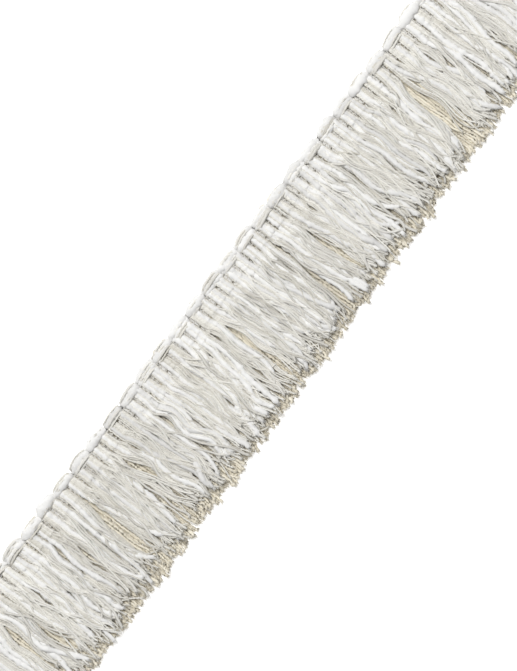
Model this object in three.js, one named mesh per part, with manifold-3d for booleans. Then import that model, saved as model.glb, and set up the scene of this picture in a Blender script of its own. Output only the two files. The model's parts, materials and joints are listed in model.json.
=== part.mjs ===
// Brush fringe trimming, in millimetres, lying face up: +X along the trimming, +Y towards the looped edge,
// +Z out of the face. The origin is on the underside, at the middle of the length and of the whole width.
//
// A fringe weft is a soft bundle of yarns. It comes up out of the skirt as one rib, turns over the top edge
// as a loop and goes back down as the next rib. Three rows of chain thread hold the ribs from the face, and
// a thin ground weft zigzags behind them. Below the stitches the yarns leave the heading as one thick bundle
// that soon parts in two: a dense back layer, cut straight, and loose hanks that lie on it in front.
import * as THREE from "three";
import { mergeVertices } from "three/addons/utils/BufferGeometryUtils.js";
import Module from "manifold-3d";

const wasm = await Module();
wasm.setup();

// Overall sizes.
const loopCount = 32;
const ribPitch = 5.0;
const headingHeight = 9.3;
const frontDrop = 36.8;
const backDrop = 41.5;

// Weft bundle in the heading.
const ribGap = 0.5;
const bundleThickness = 3.6;

// Threads of the heading.
const chainWidth = 1.2;
const chainThickness = 0.8;
const chainDip = 0.2;
const lowestChainRow = 1.2;
const chainRowSpacing = 1.95;
const groundWidth = 1.8;
const groundThickness = 0.9;

// Skirt.
const ribsPerSection = 8;
const ribsPerFrontHank = 4;
const backThickness = 3.4;
const frontThickness = 4.5;
const partingLength = 5.0;
const lobeRise = 0.9;
const frontTipTaper = 4.0;
const backTipTaper = 1.5;
const tipThickness = 1.6;

// Free space between neighbouring pieces.
const clearance = 0.3;

// Places that follow from the sizes.
const ribCount = loopCount * 2;
const length = ribCount * ribPitch;
const bundleWidth = ribPitch - ribGap;
const skirtDrop = Math.max(frontDrop, backDrop);
const topEdge = (headingHeight + skirtDrop) / 2;
const headingEdge = topEdge - headingHeight;
const skirtRoot = headingEdge - clearance;
const bundleBottom = groundThickness + clearance;
const bundleTop = bundleBottom + bundleThickness;
const chainBottom = bundleTop + clearance;
const chainTop = chainBottom + chainThickness;
const frontBottom = backThickness + clearance;
const frontTop = frontBottom + frontThickness;
const parting = skirtRoot - partingLength;

const rovingMaterial = new THREE.MeshStandardMaterial({ color: 0xe6e3dc, roughness: 0.95, metalness: 0 });
const threadMaterial = new THREE.MeshStandardMaterial({ color: 0xded9c9, roughness: 0.8, metalness: 0 });
const backMaterial = new THREE.MeshStandardMaterial({ color: 0xcbc3b0, roughness: 0.95, metalness: 0 });

const fringe = new THREE.Group();

function addPiece(name, geometry, material) {
  const mesh = new THREE.Mesh(geometry, material);
  mesh.name = name;
  fringe.add(mesh);
  return mesh;
}

const numbered = (name, index) => name + "_" + String(index + 1).padStart(2, "0");
const ribBorder = (index) => index * ribPitch - length / 2;

// A closed outline, from its points, pushed out along +Z.
function prism(points, depth) {
  const outline = new THREE.Shape(points.map(([x, y]) => new THREE.Vector2(x, y)));
  return new THREE.ExtrudeGeometry(outline, { depth, bevelEnabled: false });
}

// The solid that two closed geometries have in common.
function common(first, second) {
  const [a, b] = [first, second].map((geometry) => {
    const bare = geometry.clone();
    bare.deleteAttribute("normal");
    bare.deleteAttribute("uv");
    const merged = mergeVertices(bare, 1e-4);
    const vertProperties = merged.attributes.position.array;
    const triVerts = new Uint32Array(merged.index.array);
    return new wasm.Manifold(new wasm.Mesh({ numProp: 3, vertProperties, triVerts }));
  });
  const shared = a.intersect(b).getMesh();
  const geometry = new THREE.BufferGeometry();
  geometry.setAttribute("position", new THREE.BufferAttribute(shared.vertProperties, 3));
  geometry.setIndex(new THREE.BufferAttribute(shared.triVerts, 1));
  geometry.computeVertexNormals();
  return geometry;
}

// The middle line of one weft loop: up one rib, round the top and down the next, in the XY plane.
class HairpinCurve extends THREE.Curve {
  constructor(legSpacing, height) {
    super();
    this.radius = legSpacing / 2;
    this.leg = height - this.radius;
    this.bend = Math.PI * this.radius;
  }

  getPoint(t, target = new THREE.Vector3()) {
    const along = t * (2 * this.leg + this.bend);
    if (along < this.leg) return target.set(-this.radius, along, 0);
    if (along > this.leg + this.bend) return target.set(this.radius, 2 * this.leg + this.bend - along, 0);
    const turn = Math.PI - (along - this.leg) / this.radius;
    return target.set(this.radius * Math.cos(turn), this.leg + this.radius * Math.sin(turn), 0);
  }
}

function makeEdgeLoops() {
  const sides = 8;
  const steps = 10;
  const section = Array.from({ length: sides }, (_, i) => {
    const angle = ((i + 0.5) * 2 * Math.PI) / sides;
    const reach = 1 / Math.cos(Math.PI / sides);
    const across = (bundleWidth / 2) * reach * Math.cos(angle);
    const through = (bundleThickness / 2) * reach * Math.sin(angle);
    return new THREE.Vector2(through, across);
  });
  const height = headingHeight - bundleWidth / 2;
  const extrudePath = new HairpinCurve(ribPitch, height);
  for (let i = 0; i < loopCount; i += 1) {
    const geometry = new THREE.ExtrudeGeometry(new THREE.Shape(section), { steps, extrudePath });
    const loop = addPiece(numbered("edge_loop", i), geometry, rovingMaterial);
    loop.position.set(ribBorder(2 * i + 1), headingEdge, bundleBottom + bundleThickness / 2);
  }
}

// The closed outline of a thread that goes from low to high and back along the heading, starting low.
function zigzagBand(stepsPerRib, low, high, width) {
  const steps = ribCount * stepsPerRib;
  const middle = Array.from({ length: steps + 1 }, (_, i) => [
    -length / 2 + (i * length) / steps,
    i % 2 === 0 ? low : high,
  ]);
  const lowerSide = middle.map(([x, y]) => [x, y - width / 2]);
  const upperSide = middle.map(([x, y]) => [x, y + width / 2]);
  return [...lowerSide, ...upperSide.reverse()];
}

// One chain thread lies over the ribs and dips a little into the gap between each two.
function makeChainThreads() {
  const ridge = chainBottom + chainThickness / 2;
  ["lower", "middle", "upper"].forEach((row, i) => {
    const outline = zigzagBand(2, ridge - chainDip, ridge, chainThickness);
    const geometry = prism(outline, chainWidth);
    geometry.rotateX(Math.PI / 2);
    const thread = addPiece(row + "_chain_thread", geometry, threadMaterial);
    thread.position.y = headingEdge + lowestChainRow + i * chainRowSpacing + chainWidth / 2;
  });
}

// The ground weft crosses from the lowest chain row to the highest and back, behind the ribs.
function makeGroundWeft() {
  const low = headingEdge + lowestChainRow;
  const high = low + 2 * chainRowSpacing;
  const geometry = prism(zigzagBand(1, low, high, groundWidth), groundThickness);
  addPiece("ground_weft_thread", geometry, threadMaterial);
}

// Skirt yarns below a run of ribs: a slab with one lobe for each rib on top, cut to the profile that it
// shows from the end of the trimming.
function skirtPiece(firstRib, ribs, profilePoints) {
  const pointsPerLobe = 4;
  const left = ribBorder(firstRib) + clearance / 2;
  const width = ribs * ribPitch - clearance;
  const lobes = Array.from({ length: ribs * pointsPerLobe + 1 }, (_, i) => {
    const share = (i % pointsPerLobe) / pointsPerLobe;
    const valley = lobeRise * (1 - Math.sin(Math.PI * share));
    return [left + (i * width) / (ribs * pointsPerLobe), frontTop - valley];
  });
  const across = prism([[left, 0], [left + width, 0], ...lobes.reverse()], skirtDrop);
  across.rotateX(Math.PI / 2);
  across.translate(0, headingEdge, 0);

  const along = prism(profilePoints, length);
  along.rotateY(Math.PI / 2);
  along.rotateX(Math.PI / 2);
  along.translate(-length / 2, 0, 0);
  return common(across, along);
}

function makeSkirtPieces(name, ribsPerPiece, profilePoints, material) {
  for (let firstRib = 0; firstRib < ribCount; firstRib += ribsPerPiece) {
    const ribs = Math.min(ribsPerPiece, ribCount - firstRib);
    addPiece(numbered(name, firstRib / ribsPerPiece), skirtPiece(firstRib, ribs, profilePoints), material);
  }
}

// A section is the thick bundle at the stitches together with the back layer that runs on from it.
const backTip = headingEdge - backDrop;
const sectionProfile = [
  [backTip, 0],
  [skirtRoot, 0],
  [skirtRoot, chainTop],
  [parting, frontTop],
  [parting, backThickness],
  [backTip + backTipTaper, backThickness],
  [backTip, tipThickness],
];

const frontTip = headingEdge - frontDrop;
const frontHankProfile = [
  [frontTip, frontBottom],
  [parting - clearance, frontBottom],
  [parting - clearance, frontTop],
  [frontTip + frontTipTaper, frontTop],
  [frontTip, frontBottom + tipThickness],
];

makeEdgeLoops();
makeChainThreads();
makeGroundWeft();
makeSkirtPieces("skirt_section", ribsPerSection, sectionProfile, backMaterial);
makeSkirtPieces("front_hank", ribsPerFrontHank, frontHankProfile, rovingMaterial);

export default fringe;
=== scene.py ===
"""Brush fringe trimming: a looped, chain-stitched heading with a skirt of loose cut yarns, lying face up.

Lengths in the dataclasses are in millimetres and become metres when a mesh is made. X runs along the
trimming, +Y across it towards the looped edge and +Z out of its face. Every yarn is a twisted, closed tube
swept along its own path. Yarns that lie side by side are first settled against each other, so that they pile
up as real ones do.
"""

import json
import logging
import math
from collections.abc import Iterable, Sequence
from dataclasses import dataclass, field, replace
from enum import Enum
from typing import ClassVar

import bmesh
import bpy
import numpy as np
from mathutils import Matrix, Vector

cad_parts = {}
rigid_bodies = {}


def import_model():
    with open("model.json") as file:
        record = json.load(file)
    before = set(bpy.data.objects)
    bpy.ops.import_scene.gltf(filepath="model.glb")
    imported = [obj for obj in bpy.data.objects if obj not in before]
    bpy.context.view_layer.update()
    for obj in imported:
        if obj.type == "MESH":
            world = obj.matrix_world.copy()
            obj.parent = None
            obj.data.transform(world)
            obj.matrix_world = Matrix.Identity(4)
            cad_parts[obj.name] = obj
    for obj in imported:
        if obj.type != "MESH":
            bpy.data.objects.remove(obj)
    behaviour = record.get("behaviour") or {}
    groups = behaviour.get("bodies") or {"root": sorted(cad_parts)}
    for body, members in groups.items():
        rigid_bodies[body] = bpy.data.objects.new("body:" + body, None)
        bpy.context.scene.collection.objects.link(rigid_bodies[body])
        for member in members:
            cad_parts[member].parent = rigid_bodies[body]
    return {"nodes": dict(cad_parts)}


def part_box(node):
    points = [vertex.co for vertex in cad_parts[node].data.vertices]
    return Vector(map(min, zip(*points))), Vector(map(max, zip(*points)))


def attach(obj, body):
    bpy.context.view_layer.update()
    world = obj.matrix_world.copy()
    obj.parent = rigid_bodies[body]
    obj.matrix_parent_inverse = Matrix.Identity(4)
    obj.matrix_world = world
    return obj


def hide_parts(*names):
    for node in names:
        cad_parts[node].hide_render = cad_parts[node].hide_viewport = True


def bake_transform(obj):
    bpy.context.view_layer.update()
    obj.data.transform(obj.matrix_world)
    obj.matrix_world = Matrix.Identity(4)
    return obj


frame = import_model()

log = logging.getLogger("fringe")

MM = 0.001
FULL_TURN = 2 * math.pi

Array = np.ndarray
Colour = tuple[float, float, float]
Span = tuple[float, float]
Socket = bpy.types.NodeSocket

TINY = 1e-9
CAP_MIX = (0.93, 0.07)
"""How much of an end's middle and of the next one make the ring that closes a blunt end."""


class Slot(Enum):
    """The record's material slots."""

    ROVING = "roving"
    CORD = "twisted_cord"
    MATTE = "matte_yarn"
    THREAD = "thread"
    BACK = "back_yarn"


# ---------------------------------------------------------------------------------------------- finishes


def computed(
    tree: bpy.types.NodeTree,
    operation: str,
    *values: Socket | float,
    clamp: bool = False,
) -> Socket:
    """Adds a Math node.

    Args:
        tree: the material's nodes.
        operation: what the node does.
        values: what goes into it, each a number or another node's socket.
        clamp: whether its result is kept between 0 and 1.

    Returns:
        The socket that holds its result.
    """
    node = tree.nodes.new("ShaderNodeMath")
    node.operation = operation
    node.use_clamp = clamp
    for socket, value in zip(node.inputs, values, strict=False):
        if isinstance(value, Socket):
            tree.links.new(value, socket)
        else:
            socket.default_value = value
    return node.outputs[0]


@dataclass(frozen=True)
class YarnFinish:
    """How the surface of one kind of yarn looks.

    A yarn takes a colour between deep and pale by its own shade, with fibre streaks along it on top and,
    where it has plies, painted shade in the grooves between them.

    Attributes:
        streaks_along: the streaks in a millimetre along the yarn.
        streaks_round: the streaks in one turn round it.
        streak_tint: how far a streak moves the colour, as a share of the way from deep to pale.
        bump: the strength of the streaks' and plies' fine relief.
        plies: the plies that show as fine ridges, or 0 for none.
        ply_turn: the length of one full turn of those ridges, in millimetres.
        groove_shade: painted shade in the grooves between two plies: how much darker the colour is made
            there, likewise as a share.
    """

    name: str
    deep: Colour
    pale: Colour
    roughness: float
    sheen: float
    streaks_along: float
    streaks_round: float
    streak_tint: float
    bump: float
    plies: int = 0
    ply_turn: float = 1.0
    groove_shade: float = 0.0

    relief_depth: ClassVar[float] = 0.12
    ply_relief: ClassVar[float] = 1.5
    streaks_per_shade: ClassVar[float] = 53.0

    def material(self) -> bpy.types.Material:
        """Makes the node material, or returns the one that is already made.

        Returns:
            The finish as a material.
        """
        known = bpy.data.materials.get(self.name)
        if known:
            return known
        material = bpy.data.materials.new(self.name)
        material.use_nodes = True
        tree = material.node_tree
        nodes, links = tree.nodes, tree.links
        shader = nodes["Principled BSDF"]
        shader.inputs["Roughness"].default_value = self.roughness
        shader.inputs["Sheen Weight"].default_value = self.sheen
        shader.inputs["Sheen Roughness"].default_value = 0.6
        shader.inputs["Specular IOR Level"].default_value = 0.15

        shade, along = (self._attribute(tree, name) for name in ("shade", "along"))
        uv = nodes.new("ShaderNodeUVMap")
        uv.uv_map = "UVMap"
        split = nodes.new("ShaderNodeSeparateXYZ")
        links.new(uv.outputs["UV"], split.inputs[0])
        around = split.outputs["Y"]

        streak_place = nodes.new("ShaderNodeCombineXYZ")
        scales = (self.streaks_along, self.streaks_round, self.streaks_per_shade)
        for axis, source, scale in zip("XYZ", (along, around, shade), scales, strict=True):
            links.new(computed(tree, "MULTIPLY", source, scale), streak_place.inputs[axis])
        streaks = nodes.new("ShaderNodeTexNoise")
        streaks.inputs["Scale"].default_value = 1.0
        streaks.inputs["Detail"].default_value = 3.0
        streaks.inputs["Roughness"].default_value = 0.65
        links.new(streak_place.outputs[0], streaks.inputs["Vector"])

        relief = streaks.outputs["Fac"]
        level = computed(tree, "MULTIPLY_ADD", relief, self.streak_tint, shade, clamp=True)
        # Painted shade: the colour is made darker in the grooves between the plies, where shade falls; the
        # same ridges also go into the bump.
        if self.plies:
            ridge = self._ply_ridges(tree, along, around)
            raised = computed(tree, "MULTIPLY_ADD", ridge, self.groove_shade, level)
            level = computed(tree, "SUBTRACT", raised, self.groove_shade, clamp=True)
            relief = computed(tree, "MULTIPLY_ADD", ridge, self.ply_relief, relief)
        tint = nodes.new("ShaderNodeMix")
        tint.data_type = "RGBA"
        tint.inputs["A"].default_value = (*self.deep, 1)
        tint.inputs["B"].default_value = (*self.pale, 1)
        links.new(level, tint.inputs["Factor"])
        links.new(tint.outputs["Result"], shader.inputs["Base Color"])

        bump = nodes.new("ShaderNodeBump")
        bump.inputs["Strength"].default_value = self.bump
        bump.inputs["Distance"].default_value = self.relief_depth * MM
        links.new(relief, bump.inputs["Height"])
        links.new(bump.outputs["Normal"], shader.inputs["Normal"])
        return material

    @staticmethod
    def _attribute(tree: bpy.types.NodeTree, name: str) -> Socket:
        """Adds the node that reads a number stored on the mesh."""
        node = tree.nodes.new("ShaderNodeAttribute")
        node.attribute_name = name
        return node.outputs["Fac"]

    def _ply_ridges(self, tree: bpy.types.NodeTree, along: Socket, around: Socket) -> Socket:
        """Adds the nodes for the fine ridges that the twisted plies make.

        Args:
            tree: the material's nodes.
            along: the distance along the yarn, in millimetres.
            around: the place round the yarn, from 0 to 1.

        Returns:
            The socket that holds 1 on a ridge and 0 where two plies meet.
        """
        turned = computed(tree, "MULTIPLY", along, math.pi * self.plies / self.ply_turn)
        phase = computed(tree, "MULTIPLY_ADD", around, math.pi * self.plies, turned)
        return computed(tree, "ABSOLUTE", computed(tree, "SINE", phase))


SOFT_ROVING = YarnFinish(
    name="soft white roving",
    deep=(0.60, 0.59, 0.57),
    pale=(0.87, 0.865, 0.85),
    roughness=0.95,
    sheen=0.15,
    streaks_along=1.5,
    streaks_round=24.0,
    streak_tint=0.8,
    bump=0.9,
)
CREAM_CORD = YarnFinish(
    name="cream twisted cord",
    deep=(0.64, 0.615, 0.55),
    pale=(0.90, 0.885, 0.835),
    roughness=0.8,
    sheen=0.1,
    streaks_along=2.5,
    streaks_round=4.0,
    streak_tint=0.35,
    bump=0.4,
    plies=2,
    ply_turn=1.3,
    groove_shade=0.35,
)
PALE_MATTE = YarnFinish(
    name="pale grey matte yarn",
    deep=(0.61, 0.59, 0.54),
    pale=(0.79, 0.775, 0.73),
    roughness=0.95,
    sheen=0.15,
    streaks_along=2.0,
    streaks_round=5.0,
    streak_tint=0.4,
    bump=0.5,
    plies=3,
    ply_turn=3.0,
    groove_shade=0.25,
)
ECRU_BACK = YarnFinish(
    name="ecru back yarn",
    deep=(0.66, 0.605, 0.49),
    pale=(0.94, 0.885, 0.75),
    roughness=0.95,
    sheen=0.15,
    streaks_along=2.0,
    streaks_round=5.0,
    streak_tint=0.4,
    bump=0.5,
    plies=3,
    ply_turn=3.2,
    groove_shade=0.25,
)
NATURAL_THREAD = YarnFinish(
    name="natural stitching thread",
    deep=(0.66, 0.64, 0.58),
    pale=(0.82, 0.80, 0.76),
    roughness=0.7,
    sheen=0.05,
    streaks_along=3.0,
    streaks_round=4.0,
    streak_tint=0.3,
    bump=0.4,
    plies=2,
    ply_turn=1.0,
    groove_shade=0.3,
)


# ------------------------------------------------------------------------------------------------- yarns


@dataclass(frozen=True)
class YarnStyle:
    """How one kind of yarn is spun, and how finely its tube is made.

    Attributes:
        radius: its radius, least and most.
        plies: the ridges that the plies make round the section.
        ply_depth: how far a ridge stands out, as a share of the radius.
        corners: the points round the section.
        twist: the length of one full turn of the plies.
        step: the distance between two rings of the tube.
        slub: how much the radius comes and goes, as a share of it.
        fluff: how rough the surface is, as a share of the radius.
        waver: the sideways waves of one yarn, least and most height.
        waver_length: the length of such a wave, least and most.
        pointed: whether the ends run out to points. Others are cut blunt.
    """

    slot: Slot
    finish: YarnFinish
    radius: Span
    plies: int = 1
    ply_depth: float = 0.0
    corners: int = 3
    twist: float = 1000.0
    step: float = 0.8
    slub: float = 0.0
    fluff: float = 0.0
    waver: Span = (0.0, 0.0)
    waver_length: Span = (8.0, 16.0)
    pointed: bool = False


ROVING = YarnStyle(
    Slot.ROVING,
    SOFT_ROVING,
    radius=(0.78, 1.12),
    plies=5,
    ply_depth=0.10,
    corners=12,
    twist=17.0,
    step=0.7,
    slub=0.14,
    fluff=0.2,
    waver=(0.15, 0.5),
    waver_length=(14, 30),
)
CORD = YarnStyle(
    Slot.CORD,
    CREAM_CORD,
    radius=(0.26, 0.33),
    plies=2,
    ply_depth=0.24,
    corners=6,
    twist=3.2,
    step=0.55,
    slub=0.04,
    waver=(0.12, 0.42),
    waver_length=(9, 22),
)
MATTE = YarnStyle(
    Slot.MATTE,
    PALE_MATTE,
    radius=(0.40, 0.55),
    plies=3,
    ply_depth=0.16,
    corners=6,
    twist=4.2,
    step=0.7,
    slub=0.08,
    fluff=0.08,
    waver=(0.15, 0.45),
    waver_length=(10, 20),
)
BACK = YarnStyle(
    Slot.BACK,
    ECRU_BACK,
    radius=(0.48, 0.66),
    plies=3,
    ply_depth=0.18,
    corners=5,
    twist=4.6,
    step=1.15,
    slub=0.08,
    fluff=0.08,
    waver=(0.2, 0.5),
    waver_length=(10, 20),
)
THREAD = YarnStyle(Slot.THREAD, NATURAL_THREAD, (0.14, 0.14), 2, 0.2, 6, 1.8, 0.36)
GROUND = YarnStyle(Slot.THREAD, NATURAL_THREAD, (0.32, 0.32), 3, 0.14, 6, 3.0, 0.5)


def fibre_of(style: YarnStyle, radius: Span) -> YarnStyle:
    """The loose fibres of a yarn: its colour on thin, smooth, pointed tubes.

    Args:
        style: the yarn.
        radius: the fibres' radius, least and most.

    Returns:
        The fibres' style.
    """
    finish = replace(style.finish, name=f"{style.finish.name} fibre", bump=0.0, plies=0)
    return YarnStyle(style.slot, finish, radius, pointed=True)


FIBRE_OF = {
    Slot.ROVING: fibre_of(ROVING, (0.03, 0.05)),
    Slot.CORD: fibre_of(CORD, (0.05, 0.08)),
    Slot.MATTE: fibre_of(MATTE, (0.05, 0.09)),
    Slot.BACK: fibre_of(BACK, (0.07, 0.12)),
}


@dataclass
class Strand:
    """One length of yarn: its path in millimetres, the radius at each point, and its shade from 0 to 1."""

    path: Array
    radius: Array
    shade: float
    start: float = 0.0

    def reach(self) -> Array:
        """The distance along the yarn at each point, counted from start at the first."""
        return self.start + distance_along(self.path)


def distance_along(path: Array) -> Array:
    """How far along a path each of its points lies."""
    return np.concatenate([[0.0], np.cumsum(np.linalg.norm(np.diff(path, axis=0), axis=1))])


def refined(path: Array, step: float) -> Array:
    """Puts evenly spaced points on the smooth curve through a path's points.

    Args:
        path: the points, one row each.
        step: the distance wanted between the new points.

    Returns:
        The new points, with the same first and last.
    """
    total = distance_along(path)
    count = max(3, math.ceil(total[-1] / step) + 1)
    place = np.interp(np.linspace(0, total[-1], count), total, np.arange(len(path)))
    index = np.minimum(place.astype(int), len(path) - 2)
    t = (place - index)[:, None]
    before, after = path[np.maximum(index - 1, 0)], path[np.minimum(index + 2, len(path) - 1)]
    here, there = path[index], path[index + 1]
    bend = (2 * before - 5 * here + 4 * there - after) * t**2
    ease = (3 * here - before - 3 * there + after) * t**3
    return 0.5 * (2 * here + (there - before) * t + bend + ease)


def uneven(rng: np.random.Generator, reach: Array, lengths: Span, waves: int = 3) -> Array:
    """A smooth random curve of about unit height.

    Args:
        rng: the source of the waves' lengths and phases.
        reach: where along the yarn the curve is wanted.
        lengths: the shortest and longest wave.
        waves: how many waves are summed.

    Returns:
        The curve's height at each point of reach.
    """
    total = np.zeros(len(reach))
    for _ in range(waves):
        length = rng.uniform(*lengths)
        total += np.sin(FULL_TURN * (reach / length + rng.random()))
    return total / math.sqrt(waves)


class Skein:
    """Yarns that become one piece."""

    cell_margin: ClassVar[float] = 0.04

    def __init__(self, name: str, rng: np.random.Generator) -> None:
        """Starts an empty skein of that name, with its source of rough surfaces."""
        self.name = name
        self.rng = rng
        self.lots: dict[YarnStyle, list[Strand]] = {}

    def add(self, style: YarnStyle, strand: Strand) -> None:
        """Adds one yarn."""
        self.lots.setdefault(style, []).append(strand)

    def make(self) -> bpy.types.Object:
        """Spins every yarn of the skein into one mesh object.

        Returns:
            The object, at the origin, with one material for each finish.
        """
        cells = self._laid_flat()
        spun = [self._spin(style, strands, cells[style]) for style, strands in self.lots.items()]
        first = spun[0]
        if len(spun) > 1:
            with bpy.context.temp_override(active_object=first, selected_editable_objects=spun):
                bpy.ops.object.join()
        first.name = self.name
        first.data.name = self.name
        return first

    def _laid_flat(self) -> dict[YarnStyle, Array]:
        """Lays the unrolled yarns in rows on a square map, each in a cell of its own.

        Returns:
            For each style, a row for each strand: the cell's corner, width and height, from 0 to 1.
        """
        lengths = {style: [s.reach()[-1] - s.start for s in lot] for style, lot in self.lots.items()}
        round_of = {style: FULL_TURN * style.radius[1] for style in self.lots}
        area = sum(round_of[style] * sum(lot) for style, lot in lengths.items())
        width = max(math.sqrt(area), max(max(lot) for lot in lengths.values()))
        cells, low = {}, 0.0
        for style, lot in lengths.items():
            rows, left = [], 0.0
            for length in lot:
                if left + length > width:
                    left, low = 0.0, low + round_of[style]
                rows.append((left / width, low, length / width, round_of[style]))
                left += length
            low += round_of[style]
            cells[style] = np.array(rows)
        for rows in cells.values():
            rows[:, 1::2] /= low
            rows[:, :2] += self.cell_margin * rows[:, 2:]
            rows[:, 2:] *= 1 - 2 * self.cell_margin
        return cells

    def _spin(self, style: YarnStyle, strands: Sequence[Strand], cells: Array) -> bpy.types.Object:
        """Sweeps the style's section along each strand and closes the tubes.

        Args:
            style: the kind of yarn.
            strands: the yarns, all of that kind.
            cells: each yarn's cell on the baking map.

        Returns:
            A mesh object with the attributes shade and along.
        """
        curve = bpy.data.curves.new(self.name, "CURVE")
        curve.dimensions = "3D"
        curve.twist_mode = "MINIMUM" if style is THREAD else "Z_UP"
        curve.bevel_mode = "OBJECT"
        curve.bevel_object = yarn_section(style)
        shades, reaches, middles, ends, firsts = [], [], [], [], []
        first = 0
        for strand in strands:
            path, radius, reach = strand.path, strand.radius, strand.reach()
            if not style.pointed:
                keep, take = CAP_MIX
                near_ends = (keep * path[0] + take * path[1], keep * path[-1] + take * path[-2])
                path = np.insert(path, (1, -1), near_ends, 0)
                radius = np.insert(radius, (1, -1), (radius[0], radius[-1]))
                reach = np.insert(reach, (1, -1), (reach[0], reach[-1]))
            count = len(path)
            spline = curve.splines.new("POLY")
            spline.points.add(count - 1)
            place = np.ones((count, 4))
            place[:, :3] = path * MM
            radius = radius * MM
            radius[0] = radius[-1] = 0
            spline.points.foreach_set("co", place.ravel())
            spline.points.foreach_set("radius", radius)
            spline.points.foreach_set("tilt", reach * FULL_TURN / style.twist)
            shades.append(np.full(count * style.corners, strand.shade))
            reaches.append(np.repeat(reach, style.corners))
            middles.append(path * MM)
            firsts.append(first)
            ends.append((first, first + style.corners))
            first += count * style.corners
            ends.append((first - style.corners, first))
        holder = bpy.data.objects.new(self.name, curve)
        bpy.context.scene.collection.objects.link(holder)
        graph = bpy.context.evaluated_depsgraph_get()
        mesh = bpy.data.meshes.new_from_object(holder.evaluated_get(graph))
        bpy.data.objects.remove(holder)
        bpy.data.curves.remove(curve)
        for name, values in (("shade", shades), ("along", reaches)):
            attribute = mesh.attributes.new(name, "FLOAT", "POINT")
            attribute.data.foreach_set("value", np.concatenate(values).astype(np.float32))
        if style.fluff:
            self._roughen(mesh, style, np.concatenate(middles))
        self._map(mesh, np.array(firsts), cells)
        self._close(mesh, ends)
        mesh.materials.clear()
        mesh.materials.append(style.finish.material())
        mesh.shade_smooth()
        made = bpy.data.objects.new(self.name, mesh)
        bpy.context.scene.collection.objects.link(made)
        return made

    def _roughen(self, mesh: bpy.types.Mesh, style: YarnStyle, middles: Array) -> None:
        """Moves the surface of soft yarns in and out.

        Args:
            mesh: the tubes, ring after ring.
            style: the kind of yarn.
            middles: the middle of each ring.
        """
        places = np.empty(len(mesh.vertices) * 3)
        mesh.vertices.foreach_get("co", places)
        places = places.reshape(len(middles), style.corners, 3)
        rough = self.rng.normal(0, 1, places.shape[:2])
        rough = 0.6 * rough + 0.2 * np.roll(rough, 1, 1) + 0.2 * np.roll(rough, -1, 1)
        centre = middles[:, None]
        places = centre + (places - centre) * (1 + style.fluff * rough[..., None])
        mesh.vertices.foreach_set("co", places.ravel())

    @staticmethod
    def _map(mesh: bpy.types.Mesh, firsts: Array, cells: Array) -> None:
        """Adds the baking map, on which every yarn lies unrolled in its own cell.

        Args:
            mesh: the tubes.
            firsts: the first vertex of each tube.
            cells: each tube's cell.
        """
        count = len(mesh.loops)
        vertex = np.empty(count, np.int32)
        mesh.loops.foreach_get("vertex_index", vertex)
        unrolled = np.empty(count * 2, np.float32)
        mesh.uv_layers["UVMap"].uv.foreach_get("vector", unrolled)
        cell = cells[np.searchsorted(firsts, vertex, side="right") - 1]
        spread = cell[:, :2] + unrolled.reshape(-1, 2) * cell[:, 2:]
        layer = mesh.uv_layers.new(name="OFBake")
        layer.uv.foreach_set("vector", spread.astype(np.float32).ravel())

    @staticmethod
    def _close(mesh: bpy.types.Mesh, ends: Iterable[tuple[int, int]]) -> None:
        """Merges the points of each tube end, which lie in one place, into one.

        Args:
            mesh: the tubes.
            ends: the first vertex of each end's ring, and the one after its last.
        """
        work = bmesh.new()
        work.from_mesh(mesh)
        work.verts.ensure_lookup_table()
        rings = [work.verts[i] for low, high in ends for i in range(low, high)]
        bmesh.ops.remove_doubles(work, verts=rings, dist=1e-7)
        work.to_mesh(mesh)
        work.free()


def yarn_section(style: YarnStyle) -> bpy.types.Object:
    """The section of a yarn: a closed outline of unit radius with a ridge for each ply.

    Args:
        style: the kind of yarn.

    Returns:
        A flat curve object that other curves are swept with. It is made once for each style.
    """
    name = f"section_{style.plies}_{style.corners}_{style.ply_depth}"
    known = bpy.data.objects.get(name)
    if known:
        return known
    curve = bpy.data.curves.new(name, "CURVE")
    curve.dimensions = "2D"
    spline = curve.splines.new("POLY")
    spline.points.add(style.corners - 1)
    spline.use_cyclic_u = True
    for i, point in enumerate(spline.points):
        angle = -FULL_TURN * i / style.corners
        radius = 1 + style.ply_depth * math.cos(style.plies * angle)
        point.co = (radius * math.cos(angle), radius * math.sin(angle), 0, 1)
    section = bpy.data.objects.new(name, curve)
    bpy.context.scene.collection.objects.link(section)
    return section


def clear_sections() -> None:
    """Removes the section curves once every yarn is spun."""
    for holder in [o for o in bpy.data.objects if o.name.startswith("section_")]:
        bpy.data.objects.remove(holder)


# ------------------------------------------------------------------------------------ sizes from the frame


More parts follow.
